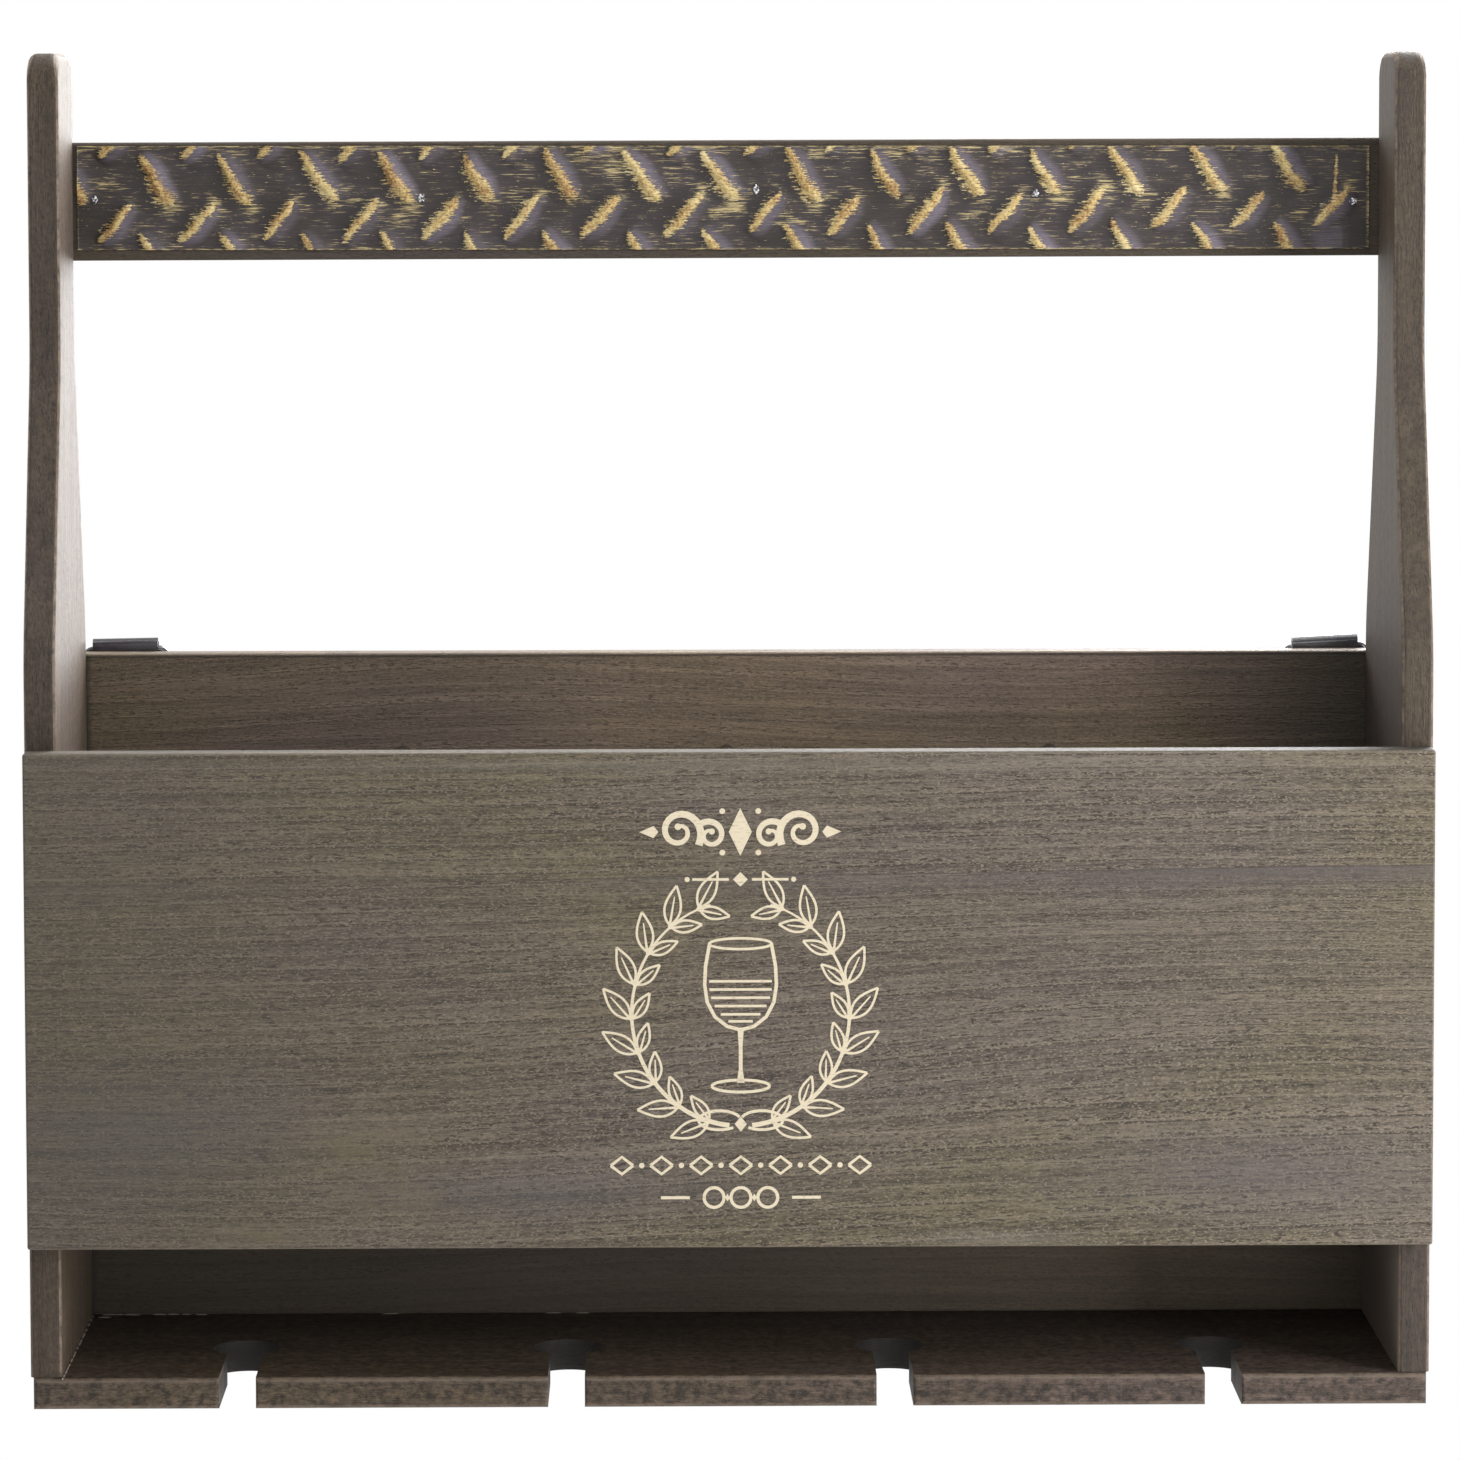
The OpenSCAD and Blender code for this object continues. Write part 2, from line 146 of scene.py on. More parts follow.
def stained_wood(name, grain, base, shift=(0, 0, 0), ring=9.0, contrast=1.0, pores=1.0, wave=1.0,
                 wear=0.5, fine=1.0, mottle=0.0, slope=None, extra=None, rim=None,
                 rub=(2.6, 2.55, 2.4)):
    """Ring-porous wood under a thin stain.

    grain is the axis that the fibres follow, and rim the one that the board's edges run round.
    ring is a year's width in mm, shift picks another piece of the log, and rub is how much paler
    than the base the rubbed arrises are. slope bends the rings and extra adds the board's own marks and
    its painted light and shade.
    """
    material, tree, shader = new_material(name, 0.6, specular=0.35)
    coordinates = node(tree, "ShaderNodeTexCoord").outputs
    place = coordinates["Object"]
    moved = node(tree, "ShaderNodeMapping", {"Vector": place, "Location": shift}).outputs["Vector"]
    parts = split(tree, moved)
    along = parts[grain]
    depth, across = [parts[i] for i in (0, 1, 2) if i != "XYZ".index(grain)]
    board = node(tree, "ShaderNodeCombineXYZ", {0: along, 1: across, 2: depth}).outputs[0]
    # slow bends of the grain, as where a log tapers
    bend = noise(tree, board, (2.4, 8.0, 8.0), 1.0)
    bent = maths(tree, "MULTIPLY_ADD", bend, 0.03 * wave, across)
    if slope:
        bent = maths(tree, "SUBTRACT", bent, slope(tree, place))
    flow = node(tree, "ShaderNodeCombineXYZ", {0: along, 1: bent, 2: depth}).outputs[0]
    # year rings: a row of open pores with a sharp edge, fading into smooth late wood
    uneven = noise(tree, flow, (1.2, 28.0, 24.0), 2.0)
    years = maths(tree, "MULTIPLY_ADD", bent, 1000.0 / ring, times(tree, uneven, 3.2))
    year = maths(tree, "FRACT", years)
    early = ramp(tree, year, [(0.0, 0.35), (0.05, 1.0), (0.3, 0.7), (0.62, 0.18), (1.0, 0.0)])
    patchy = noise(tree, flow, (14.0, 120.0, 90.0), 2.0, 0.6)
    bands = noise(tree, flow, (7.0, 240.0, 160.0), 2.0, 0.65)
    fibres = noise(tree, flow, (60.0, 1300.0, 1000.0), 2.0, 0.75)
    grit = noise(tree, flow, (560.0, 1900.0, 1500.0), 1.0, 0.7)
    cells = noise(tree, flow, (340.0, 1750.0, 1500.0), 1.0, 0.5)
    tiny = noise(tree, flow, (1100.0, 2500.0, 2100.0), 0.0, 0.5)
    blotch = noise(tree, board, (6.0, 15.0, 10.0), 2.0, 0.6)
    crowd = times(tree, early, ramp(tree, patchy, [(0.34, 0.25), (0.6, 1.0)]))
    dashes = maths(tree, "MULTIPLY_ADD", crowd, 0.2, cells)
    dashes = ramp(tree, dashes, [(0.65, 0.0), (0.71, 1.0)])
    edge = times(tree, ramp(tree, year, [(0.0, 1.0), (0.07, 0.8), (0.12, 0.0)]),
                 ramp(tree, patchy, [(0.44, 0.0), (0.56, 1.0)]))
    # pale specks, and a painted highlight on the fibres just after each year's pores
    flecks_and_highlight = ramp(tree, maths(tree, "MULTIPLY_ADD", crowd, 0.12, tiny), [(0.66, 0.0), (0.76, 1.0)])
    pore_highlight = times(tree, ramp(tree, year, [(0.11, 0.0), (0.16, 1.0), (0.26, 0.0)]),
                ramp(tree, cells, [(0.46, 0.0), (0.56, 1.0)]))
    flecks_and_highlight = maths(tree, "MAXIMUM", flecks_and_highlight, pore_highlight)

    olive = (base[0] * 1.04, base[1], base[2] * 0.81)
    plum = (base[0], base[1] * 0.95, base[2] * 0.98)
    tone = mix(tree, ramp(tree, blotch, [(0.38, 0.0), (0.62, 1.0)]), plum, olive)
    value = sum_of(tree, [(patchy, 0.34 * contrast), (bands, 0.9 * contrast),
                          (fibres, 1.25 * contrast * fine), (grit, 1.15 * contrast * fine),
                          (blotch, -0.22 * contrast), (early, 0.16 * contrast)])
    if mottle:
        cloud = noise(tree, place, (330.0, 420.0, 420.0), 3.0, 0.75)
        cloud = ramp(tree, cloud, [(0.36, 1 - 0.5 * mottle), (0.62, 1 + 0.6 * mottle)])
        value = times(tree, value, cloud)
    value = maths(tree, "MAXIMUM", value, 0.25)
    tone = mix(tree, 1.0, tone, value, "MULTIPLY")
    tone = mix(tree, times(tree, maths(tree, "MAXIMUM", dashes, edge), 0.62 * pores), tone,
               (base[0] * 0.34, base[1] * 0.31, base[2] * 0.3))
    tone = mix(tree, times(tree, flecks_and_highlight, min(0.9, 0.5 * pores * fine)), tone,
               (base[0] * 2.1, base[1] * 2.05, base[2] * 1.9))
    if extra:
        tone = extra(tree, place, tone)
    # arrises rubbed lighter: wherever the surface turns from one face to the next
    facing = split(tree, vectors(tree, "ABSOLUTE", coordinates["Normal"]))
    if rim == "Z":
        arris = ramp(tree, facing["Z"], [(0.1, 0.0), (0.3, 1.0), (0.8, 1.0), (0.985, 0.0)])
    elif rim == "X":
        # painted light: the broad faces are made paler than the rounded edges, for the glare they catch
        face = ramp(tree, facing["X"], [(0.9, 0.0), (0.99, 1.0)])
        tone = mix(tree, 1.0, tone, maths(tree, "MULTIPLY_ADD", face, 0.65, 1.0), "MULTIPLY")
        arris = ramp(tree, facing["X"], [(0.25, 0.0), (0.5, 1.0), (0.93, 1.0), (0.985, 0.0)])
    else:
        most = maths(tree, "MAXIMUM", maths(tree, "MAXIMUM", facing["X"], facing["Y"]), facing["Z"])
        arris = ramp(tree, most, [(0.8, 1.0), (0.985, 0.0)])
    rough = ramp(tree, noise(tree, place, 260.0, 3.0, 0.7), [(0.36, 0.2), (0.62, wear)])
    tone = stain(tree, tone, tuple(part * paler for part, paler in zip(base, rub)), arris, rough)
    tree.links.new(tone, shader.inputs["Base Color"])
    height = maths(tree, "MULTIPLY_ADD", grit, 0.5, maths(tree, "MULTIPLY_ADD", dashes, -1.4, fibres))
    bump = node(tree, "ShaderNodeBump", {"Strength": 0.5, "Distance": 0.0003, "Height": height})
    tree.links.new(bump.outputs[0], shader.inputs["Normal"])
    return material


def piece(name, shape, material, slot, *replaced):
    """Makes an object of a bmesh and lets it ride with the rack."""
    mesh = bpy.data.meshes.new(name)
    shape.to_mesh(mesh)
    shape.free()
    made = bpy.data.objects.new(name, mesh)
    bpy.context.collection.objects.link(made)
    mesh.materials.append(material)
    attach(made, "rack")
    if replaced:
        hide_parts(*replaced)
    return made


def smooth(mesh):
    """Shades a mesh smooth, apart from its sharp edges."""
    mesh.shade_smooth()
    mesh.set_sharp_from_angle(angle=math.radians(50))


def keep_flat(made):
    """Shades the rounded edges smooth and keeps the broad faces flat."""
    smooth(made.data)
    made.modifiers.new("flat_faces", "WEIGHTED_NORMAL").keep_sharp = True


def push(shape, grown, by):
    """Moves the vertices that an extrusion made."""
    moved = [v for v in grown["geom"] if isinstance(v, bmesh.types.BMVert)]
    bmesh.ops.translate(shape, verts=moved, vec=by)


def round_corners(shape, corners, cut):
    bmesh.ops.bevel(shape, geom=corners, offset=cut, segments=8, profile=0.5, affect="VERTICES",
                    material=-1)


def round_over(shape, face, radius_at, foot):
    """Rounds the edges of a board's broad face; radius_at(height over the foot) is the radius."""
    out, count = face.normal.copy(), len(face.verts)
    middle = face.calc_center_median().y
    rims = []
    for i, vert in enumerate(face.verts):
        here, before, after = vert.co.copy(), face.verts[i - 1].co, face.verts[(i + 1) % count].co
        inward = out.cross((after - here).normalized() + (here - before).normalized()).normalized()
        radius = radius_at(here.z - foot)
        inward *= radius
        if here.z - foot < 0.1 * MM:
            # the foot is sawn square, so its corners only draw in towards the middle
            inward = Vector((0, math.copysign(radius, middle - here.y), 0.2 * MM))
        rims.append((here, inward, radius))
    places = [here for here, inward, radius in rims]
    STEPS = 4
    for step in range(STEPS + 1):
        if step:
            grown = bmesh.ops.extrude_face_region(shape, geom=[face])["geom"]
            face = next(f for f in grown if isinstance(f, bmesh.types.BMFace))
        turn = math.radians(90 / STEPS * step)
        drawn_in, sunk = 1 - math.cos(turn), 1 - math.sin(turn)
        nearest = [min(range(count), key=lambda i: (places[i] - vert.co).length) for vert in face.verts]
        places = [here + inward * drawn_in - out * radius * sunk for here, inward, radius in rims]
        for vert, i in zip(face.verts, nearest):
            vert.co = places[i]


def right_board_tone_and_shade(tree, place, tone):
    """The right board is darker, with painted shade on its inner face by the trough; that inner face is
    paler low down, by its foot.
    """
    parts = split(tree, place)
    tone = stain(tree, tone, (0.02, 0.015, 0.012), maths(tree, "GREATER_THAN", parts["X"], 0.0), 0.2)
    from_inside = maths(tree, "ABSOLUTE", maths(tree, "SUBTRACT", parts["X"], 209.5 * MM))
    inside = maths(tree, "LESS_THAN", from_inside, 1.5 * MM)
    low_down = ramp(tree, times(tree, parts["Z"], 10.0), [(0.45, 1.0), (0.8, 0.0)])
    tone = stain(tree, tone, (0.2, 0.165, 0.14), inside, low_down, 0.9)
    # painted shade on the inner face beside the trough
    trough_shade = ramp(tree, times(tree, parts["Z"], 3.0),
                  [(0.3, 0.0), (0.32, 0.65), (0.64, 0.65), (0.8, 0.0)])
    return stain(tree, tone, (0.016, 0.012, 0.011), inside, trough_shade)


side_wood = stained_wood("side_wood", "Z", (0.063, 0.0485, 0.0385), shift=(0.13, 0.02, 0.31), ring=7.0,
                         contrast=1.3, fine=0.6, pores=0.7, mottle=0.4, wear=1.0, rim="X",
                         rub=(3.6, 3.5, 3.3), extra=right_board_tone_and_shade)

# heights of the two bends over the foot, half the neck's width, and the cuts that round the bends
# and the tips; the arris is rubbed wider in the last 7 mm of the tip
SHOULDER, NECK_FOOT, HALF_NECK = 229 * MM, 319 * MM, 21 * MM
BEND_CUT, TIP_CUT = 8.6 * MM, 8 * MM
ARRIS, WIDER, TIP_FROM, TIP_HEIGHT = 1.3, 1.6, 408, 7


def arris_at(up):
    return (ARRIS + WIDER * min(1, max(0, up / MM - TIP_FROM) / TIP_HEIGHT)) * MM


for name in ("left_side_panel", "right_side_panel"):
    low, high = (Vector(c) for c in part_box(name))
    middle, half = (low.y + high.y) / 2, (high.y - low.y) / 2
    shape = bmesh.new()
    outline = [(half, low.z), (half, low.z + SHOULDER), (HALF_NECK, low.z + NECK_FOOT),
               (HALF_NECK, high.z)]
    corners = [shape.verts.new((low.x, middle + y, z)) for y, z in outline]
    corners += [shape.verts.new((low.x, middle - y, z)) for y, z in reversed(outline)]
    shape.faces.new(corners)
    bends = [v for v in corners if v.co.z > low.z + 1e-6 and v.co.z < high.z - 1e-6]
    round_corners(shape, bends, BEND_CUT)
    round_corners(shape, [v for v in shape.verts if v.co.z > high.z - 1e-6], TIP_CUT)
    push(shape, bmesh.ops.extrude_face_region(shape, geom=shape.faces[:]), (high.x - low.x, 0, 0))
    bmesh.ops.recalc_face_normals(shape, faces=shape.faces)
    for face in [f for f in shape.faces if abs(f.normal.x) > 0.9]:
        round_over(shape, face, arris_at, low.z)
    keep_flat(piece(name + "_board", shape, side_wood, "stained_wood", name))


# Back panel, floor and dividers: plain boards of the same wood. The back panel is nailed over
# the sides' back edges. The floor and the three thin dividers inside the trough are darker,
# and nails through the back panel hold them.

back_front, back_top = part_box("back_panel")[0][1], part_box("back_panel")[1][2]


def finish_node(name, material):
    """Gives a CAD node its material."""
    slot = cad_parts[name].material_slots[0]
    slot.link = "OBJECT"
    slot.material = material


def back_tone_light_and_shade(tree, place, tone):
    """Painted shade on the front: a dark line under the top edge, a dark left end, the right board's
    shadow over the right part and plain dark wood below the trough; a darker rear.
    """
    parts = split(tree, place)
    front = maths(tree, "LESS_THAN", parts["Y"], back_front + 1 * MM)
    # painted shade: a dark line just under the top edge
    down = times(tree, maths(tree, "SUBTRACT", back_top, parts["Z"]), 500.0)
    line = ramp(tree, down, [(0.0, 0.0), (0.2, 0.0), (0.3, 0.7), (0.55, 0.7), (0.8, 0.0)])
    tone = stain(tree, tone, (0.016, 0.012, 0.01), line, front)
    # painted shade at the left end, and the right board's shadow painted over the right part
    shaded_corner = ramp(tree, maths(tree, "MULTIPLY_ADD", parts["X"], 10.0, 2.3),
                  [(0.195, 0.85), (0.215, 0.22), (1.0, 0.0)])
    shade = ramp(tree, times(tree, parts["X"], 4.5), [(0.62, 0.0), (0.93, 0.62)])
    shade = times(tree, shade, ramp(tree, parts["Z"], [(0.19, 0.12), (0.2, 1.0)]))
    tone = stain(tree, tone, (0.012, 0.01, 0.008), maths(tree, "MAXIMUM", shaded_corner, shade), front)
    # painted shade: plain dark wood below the trough
    low_shade = ramp(tree, parts["Z"], [(0.05, 0.65), (0.06, 0.0)])
    tone = stain(tree, tone, (0.088, 0.073, 0.06), low_shade, front)
    # the wood is lighter and darker from left to right above the trough; below it, painted light makes
    # it lighter towards the right, where little light reaches
    across = maths(tree, "MULTIPLY_ADD", parts["X"], 2.2, 0.5)
    above = ramp(tree, across, [(0.1, 1.0), (0.26, 0.84), (0.34, 0.95), (0.42, 1.2), (0.7, 1.12),
                                (0.82, 1.6), (0.94, 0.8)])
    below = ramp(tree, across, [(0.1, 0.82), (0.25, 0.79), (0.36, 1.0), (0.5, 1.1), (0.66, 1.4),
                                (0.75, 1.9), (0.82, 2.5), (0.94, 2.2)])
    uneven = mix(tree, maths(tree, "GREATER_THAN", parts["Z"], 0.12), below, above)
    tone = mix(tree, front, tone, mix(tree, 1.0, tone, uneven, "MULTIPLY"))
    rear = maths(tree, "GREATER_THAN", parts["Y"], back_front + 9.5 * MM)
    return stain(tree, tone, (0.036, 0.028, 0.022), rear, 0.62)


back_wood = stained_wood("back_wood", "X", (0.162, 0.128, 0.1), shift=(0.4, 0.0, 0.13), ring=5.0,
                         contrast=1.3, fine=0.7, pores=1.1, wear=0.35, extra=back_tone_light_and_shade)
dark_wood = stained_wood("dark_wood", "X", (0.055, 0.044, 0.034), shift=(0.9, 0.2, 0.47),
                         contrast=0.6, pores=0.5)
divider_wood = stained_wood("divider_wood", "Y", (0.03, 0.024, 0.019), shift=(0.2, 0.6, 0.1),
                            contrast=0.7)
finish_node("back_panel", back_wood)
finish_node("bottle_floor", dark_wood)
for name in ("left_divider", "middle_divider", "right_divider"):
    finish_node(name, divider_wood)


# Stemware shelf: the lowest board, of the same wood. Four keyhole slots are sawn in from its
# front edge, where a glass slides in by its stem and hangs from its foot. The front edge is
# mottled, since it drank the stain unevenly. Screws from below hold it to the sides and the back.

shelf_low, shelf_high = (Vector(c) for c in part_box("stemware_shelf"))


def shelf_tone_light_and_shade(tree, place, tone):
    """Painted highlight on the front edge's top arris, painted shadow along its foot, painted shade on
    the walls of the holes; a plain rear.
    """
    parts = split(tree, place)
    normal = split(tree, node(tree, "ShaderNodeTexCoord").outputs["Normal"])
    wall = maths(tree, "LESS_THAN", maths(tree, "ABSOLUTE", normal["Z"]), 0.5)
    behind = times(tree, maths(tree, "SUBTRACT", parts["Y"], shelf_low.y), 10.0)
    deep = ramp(tree, behind, [(0.17, 0.0), (0.22, 1.0)])
    # painted shade darkens each hole's wall, which lies well inside the board's own side and rear edges
    between = maths(tree, "LESS_THAN", maths(tree, "ABSOLUTE", parts["X"]), shelf_high.x - 5 * MM)
    before = maths(tree, "LESS_THAN", parts["Y"], shelf_high.y - 5 * MM)
    tone = stain(tree, tone, (0.009, 0.007, 0.006), wall, deep, between, before, 0.95)
    # the mottle belongs to the front edge; the rear edge is plain
    rear = maths(tree, "GREATER_THAN", parts["Y"], shelf_high.y - 0.5 * MM)
    tone = stain(tree, tone, (0.048, 0.037, 0.029), rear, 0.75)
    # painted highlight, patchy, along the top arris of the front edge
    share = maths(tree, "DIVIDE", parts["Z"], shelf_high.z)
    arris = ramp(tree, share, [(0.8, 0.0), (0.92, 0.75)])
    rough = ramp(tree, noise(tree, place, 420.0, 2.0, 0.6), [(0.35, 0.3), (0.6, 1.0)])
    front = maths(tree, "SUBTRACT", 1.0, deep)
    tone = stain(tree, tone, (0.17, 0.14, 0.115), arris, rough, wall, front)
    # painted shadow: a dark line along the foot of the front edge
    foot = ramp(tree, share, [(0.02, 0.8), (0.08, 0.0)])
    return stain(tree, tone, (0.02, 0.016, 0.014), foot, wall)


shelf_wood = stained_wood("shelf_wood", "X", (0.066, 0.05, 0.039), shift=(0.7, 0.3, 0.22), contrast=1.1,
                          pores=0.6, mottle=1.25, wear=0.9, rim="Z", extra=shelf_tone_light_and_shade)
finish_node("stemware_shelf", shelf_wood)

# glue that oozed from the joints with the left side and the back: where each run starts and ends,
# in mm from the corner between them, and how wide it is
GLUE_RUNS = (((0.3, -98), (0.3, -2), 0.7), ((3, -0.3), (17, -0.3), 0.8),
             ((20, -0.3), (36, -0.3), 0.5), ((2, -4.5), (8, -4.0), 1.2),
             ((150, -0.3), (163, -0.3), 0.7), ((96, -0.3), (99, -0.3), 0.6))
draw = random.Random(3)
corner_x, corner_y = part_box("left_side_panel")[1][0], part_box("back_panel")[0][1]
glue, tree, shader = new_material("dried_glue", 0.35)
shader.inputs["Base Color"].default_value = (0.42, 0.36, 0.3, 1)
shape = bmesh.new()
for start, end, wide in GLUE_RUNS:
    way = Vector(end) - Vector(start)
    at = 0.0
    while at < way.length:
        reach = draw.uniform(1.5, 6.0)
        middle = Vector(start) + way.normalized() * min(at + reach / 2, way.length)
        bead = bmesh.ops.create_icosphere(shape, subdivisions=2, radius=0.5 * MM)["verts"]
        size = (reach, wide, 0.6) if way.x > way.y else (wide, reach, 0.6)
        bmesh.ops.scale(shape, verts=bead, vec=size)
        bmesh.ops.translate(shape, verts=bead, vec=(corner_x + middle.x * MM, corner_y + middle.y * MM,
                                                    shelf_high.z + 0.05 * MM))
        at += reach * draw.uniform(0.8, 1.9)
piece("glue_traces", shape, glue, "stained_wood")


# Front panel: one wide board, glued to the front edges of the sides. It is the best face of the
# rack, with open grain that runs level at the top and bends lower down, under a thin stain with
# olive patches. A design in flat cream ink is printed on it.

low, high = (Vector(c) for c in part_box("front_panel"))


def span(tree, value, start, end, **settings):
    """How far the value has come from start to end, from 0 to 1."""
    return node(tree, "ShaderNodeMapRange", {"Value": value, "From Min": start, "From Max": end},
                **settings).outputs[0]


def spots(tree, place, marks):
    """A soft mask round each mark: (x, y, z, radius along X, radius along Z)."""
    total = 0.0
    for x, y, z, wide, tall in marks:
        near = vectors(tree, "ADD", place, (-x, -y, -z))
        far = vectors(tree, "LENGTH", vectors(tree, "MULTIPLY", near, (1 / wide, 8.0, 1 / tall)))
        total = maths(tree, "MAXIMUM", total, ramp(tree, far, [(0.0, 1.0), (1.0, 0.0)]))
    return total


def front_slope(tree, place):
    """Rings lie level at the top and climb to the right lower down."""
    parts = split(tree, place)
    across = span(tree, parts["X"], -0.16, 0.21, interpolation_type="SMOOTHSTEP")
    share = span(tree, parts["Z"], low.z, high.z)
    climb = ramp(tree, share, [(0.0, 0.45), (0.42, 1.0), (0.6, 0.7), (0.74, 0.25), (1.0, 0.12)])
    return times(tree, across, climb, 21 * MM)


def front_stains_and_shade(tree, place, tone):
    """A smooth band under one ring, plum patches low down and a few spots of rusty stain; painted shade
    on the top face and over the left part.
    """
    parts = split(tree, place)
    # the ring lies 38.8 mm under the top edge, climbs a little to the right, and wavers
    over = maths(tree, "SUBTRACT", parts["Z"], high.z - 38.8 * MM)
    line = maths(tree, "MULTIPLY_ADD", parts["X"], -0.012, over)
    waver = noise(tree, place, (9.0, 1.0, 9.0), 2.0)
    line = maths(tree, "MULTIPLY_ADD", waver, 0.003, maths(tree, "SUBTRACT", line, 0.0015))
    line = times(tree, line, -40.0)
    reach = noise(tree, place, (6.0, 1.0, 1.0), 1.0)
    band = ramp(tree, line, [(0.0, 0.0), (0.012, 0.75), (0.16, 0.5), (0.34, 0.0)])
    patchy = ramp(tree, reach, [(0.4, 0.15), (0.58, 1.0)])
    tone = stain(tree, tone, (0.098, 0.083, 0.078), band, patchy)
    edge = ramp(tree, line, [(0.0, 0.0), (0.004, 0.6), (0.016, 0.6), (0.022, 0.0)])
    patchy = ramp(tree, reach, [(0.36, 0.3), (0.5, 1.0)])
    tone = stain(tree, tone, (0.05, 0.04, 0.034), edge, patchy)
    rough = noise(tree, place, (60.0, 60.0, 160.0), 3.0, 0.7)
    plum = spots(tree, place, [(-0.185, low.y, 0.09, 0.075, 0.03), (0.16, low.y, 0.075, 0.09, 0.02),
                               (-0.06, low.y, 0.07, 0.1, 0.012)])
    tone = stain(tree, tone, (0.1, 0.089, 0.087), plum, 0.55)
    rust = spots(tree, place, [(-0.113, low.y, 0.084, 0.028, 0.012),
                               (-0.109, low.y, 0.068, 0.022, 0.011),
                               (-0.147, low.y, 0.056, 0.03, 0.007)])
    ragged = ramp(tree, rough, [(0.34, 0.0), (0.6, 0.8)])
    tone = stain(tree, tone, (0.165, 0.13, 0.074), rust, ragged)
    pale = spots(tree, place, [(0.085, low.y, 0.055, 0.04, 0.004), (0.0, low.y, 0.2045, 0.3, 0.0028)])
    tone = stain(tree, tone, (0.24, 0.21, 0.17), pale, 0.4)
    # painted shade: the top face is darkened, more towards the right
    across = maths(tree, "MULTIPLY_ADD", parts["X"], 2.2, 0.5)
    top_shade = ramp(tree, across, [(0.1, 0.45), (0.25, 0.2), (0.35, 0.35), (0.42, 0.5), (0.7, 0.6),
                                 (0.76, 0.85), (0.94, 0.9)])
    top = maths(tree, "GREATER_THAN", parts["Z"], high.z - 0.4 * MM)
    tone = stain(tree, tone, (0.035, 0.029, 0.023), top, top_shade)
    # painted shade: the left part is darker and plainer
    left_shade = ramp(tree, maths(tree, "MULTIPLY_ADD", parts["X"], 4.0, 0.9), [(0.0, 0.45), (0.75, 0.0)])
    return mix(tree, left_shade, tone, (0.079, 0.07, 0.056))


front_wood = stained_wood("front_wood", "X", (0.124, 0.106, 0.084), ring=4.3, contrast=1.3,
                          fine=1.05, pores=1.5, wave=0.4, wear=0.3, slope=front_slope,
                          extra=front_stains_and_shade)
# the board stands back by the ink's thickness, so that the ink ends at the panel's front plane
INK = 0.1 * MM
shape = bmesh.new()
bmesh.ops.create_cube(shape, size=1.0)
bmesh.ops.scale(shape, verts=shape.verts, vec=high - low - Vector((0, INK, 0)))
bmesh.ops.translate(shape, verts=shape.verts, vec=(low + high) / 2 + Vector((0, INK / 2, 0)))
bmesh.ops.bevel(shape, geom=shape.edges[:], offset=0.8 * MM, segments=3, profile=0.5,
                affect="EDGES", material=-1)
keep_flat(piece("front_board", shape, front_wood, "front_wood", "front_panel"))


def object_place(tree):
    return node(tree, "ShaderNodeTexCoord").outputs["Object"]


def cream_print():
    """Flat cream ink; a few open pores of the wood break through it."""
    material, tree, shader = new_material("cream_print", 0.6, specular=0.3)
    place = object_place(tree)
    pores = noise(tree, place, (420.0, 400.0, 1900.0), 2.0, 0.6)
    tone = ramp(tree, pores, [(0.3, (0.5, 0.42, 0.3)), (0.4, (0.77, 0.67, 0.49)),
                              (0.7, (0.83, 0.73, 0.55))])
    tree.links.new(tone, shader.inputs["Base Color"])
    return material


# the print's middle line, in mm from the panel's middle
INK_MIDDLE = 3.2
shape = bmesh.new()


def fill(points, both=False):
    """One field of ink with the given corners, in mm from the middle line; both mirrors it."""
    for sign in (1, -1) if both else (1,):
        # each field lies a hair behind the last, so that none shares a plane with one it crosses
        front_y = low.y + 0.0002 * MM * (len(shape.faces) + 1)
        corners = [((INK_MIDDLE + sign * x) * MM, front_y, z * MM) for x, z in points]
        shape.faces.new([shape.verts.new(shaded_corner) for shaded_corner in corners])


def stroke(points, widths, both=False):
    """A line of ink along the points; widths is one width or one for each point."""
    if isinstance(widths, (int, float)):
        widths = [widths] * len(points)
    left, right = [], []
    for i, (x, z) in enumerate(points):
        ax, az = points[max(i - 1, 0)]
        bx, bz = points[min(i + 1, len(points) - 1)]
        run = math.hypot(bx - ax, bz - az)
        nx, nz = -(bz - az) / run * widths[i] / 2, (bx - ax) / run * widths[i] / 2
        left.append((x + nx, z + nz))
        right.append((x - nx, z - nz))
    fill(left + right[::-1], both)


def disc(x, z, radius, both=False):
    turns = [i * math.tau / 20 for i in range(20)]
    fill([(x + radius * math.cos(turn), z + radius * math.sin(turn)) for turn in turns], both)


def diamond(x, z, wide, tall, both=False):
    fill([(x - wide, z), (x, z + tall), (x + wide, z), (x, z - tall)], both)


def spiral(x, z, start, turn, big, small, steps=30):
    """Points that wind inwards round (x, z); start and turn in degrees."""
    winding = []
    for i in range(steps + 1):
        share = i / steps
        angle, radius = math.radians(start + turn * share), big + (small - big) * share ** 0.8
        winding.append((x + radius * math.cos(angle), z + radius * math.sin(angle)))
    return winding


def arc(x, z, wide, tall, start, end, steps=24):
    """Points on part of an ellipse; start and end in degrees."""
    turns = [math.radians(start + (end - start) * i / steps) for i in range(steps + 1)]
    return [(x + wide * math.cos(turn), z + tall * math.sin(turn)) for turn in turns]


